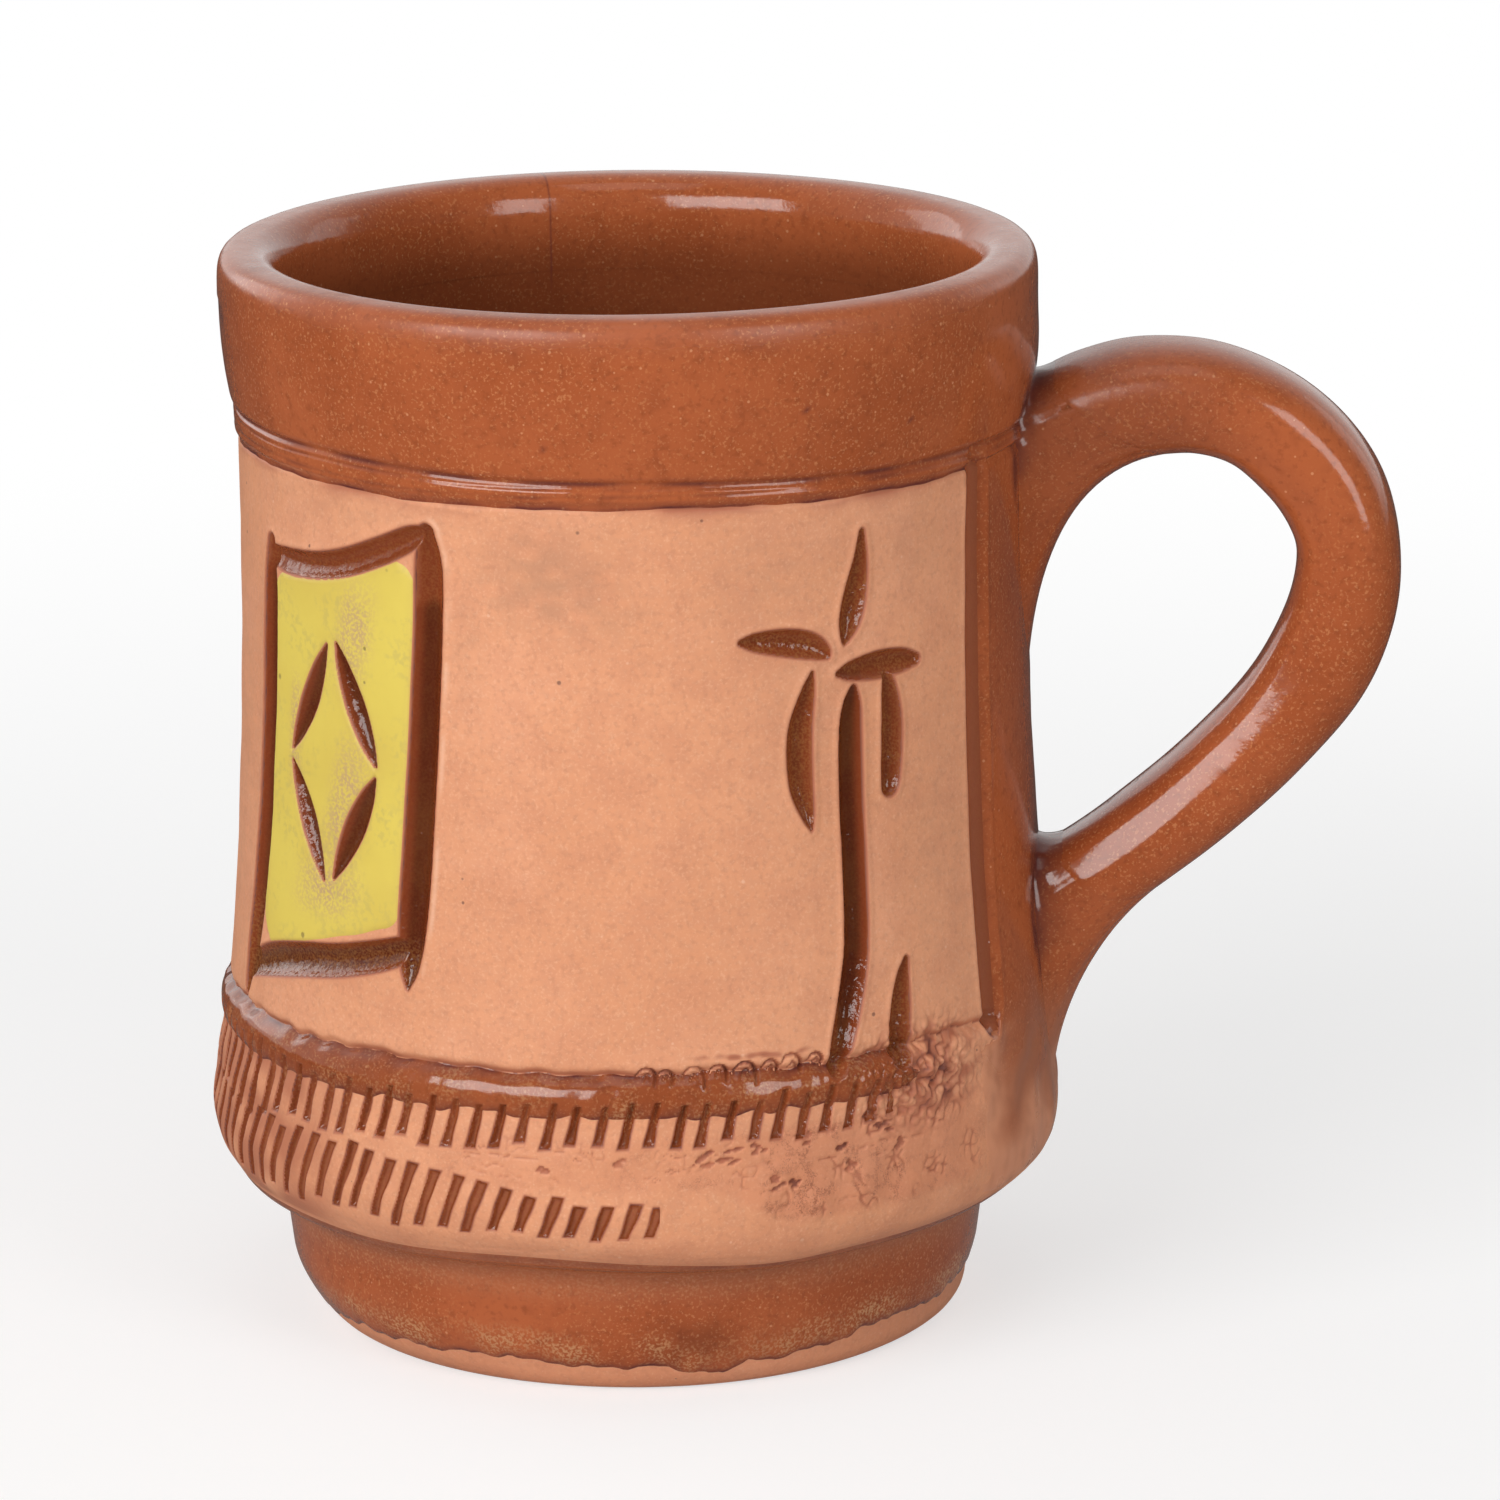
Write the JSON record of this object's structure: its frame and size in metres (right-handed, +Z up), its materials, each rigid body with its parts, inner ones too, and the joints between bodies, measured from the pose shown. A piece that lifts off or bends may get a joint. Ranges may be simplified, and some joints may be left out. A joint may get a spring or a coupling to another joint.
{
  "type": "clay mug",
  "caption": "Thrown earthenware mug with a luted loop handle, carved palm and framed panel, notched band, turned foot and brown glaze coats.",
  "frame": {"origin": "centre of the flat base, on the mug's turning axis, where it stands on the table", "axes": "+Z up along the turning axis, +X out along the handle"},
  "size_m": [0.1168, 0.0842, 0.1078],
  "materials": {
    "bare_clay": "matte unglazed terracotta",
    "brown_glaze": "glossy transparent brown glaze",
    "dark_glaze": "glossy pooled dark brown glaze",
    "yellow_slip": "matte yellow slip"
  },
  "bodies": {
    "root": {"thrown_body": "bare_clay", "pulled_handle": "bare_clay", "upper_slip_joint": "brown_glaze", "lower_slip_joint": "brown_glaze", "liner_glaze": "brown_glaze", "rim_glaze": "brown_glaze", "handle_glaze": "brown_glaze", "strip_glaze": "brown_glaze", "groove_glaze": "dark_glaze", "shoulder_glaze": "brown_glaze", "notch_glaze": "dark_glaze", "foot_glaze": "brown_glaze", "frame_glaze": "dark_glaze", "lozenge_glaze": "dark_glaze", "panel_slip": "yellow_slip", "palm_glaze": "dark_glaze"}
  },
  "joints": []
}
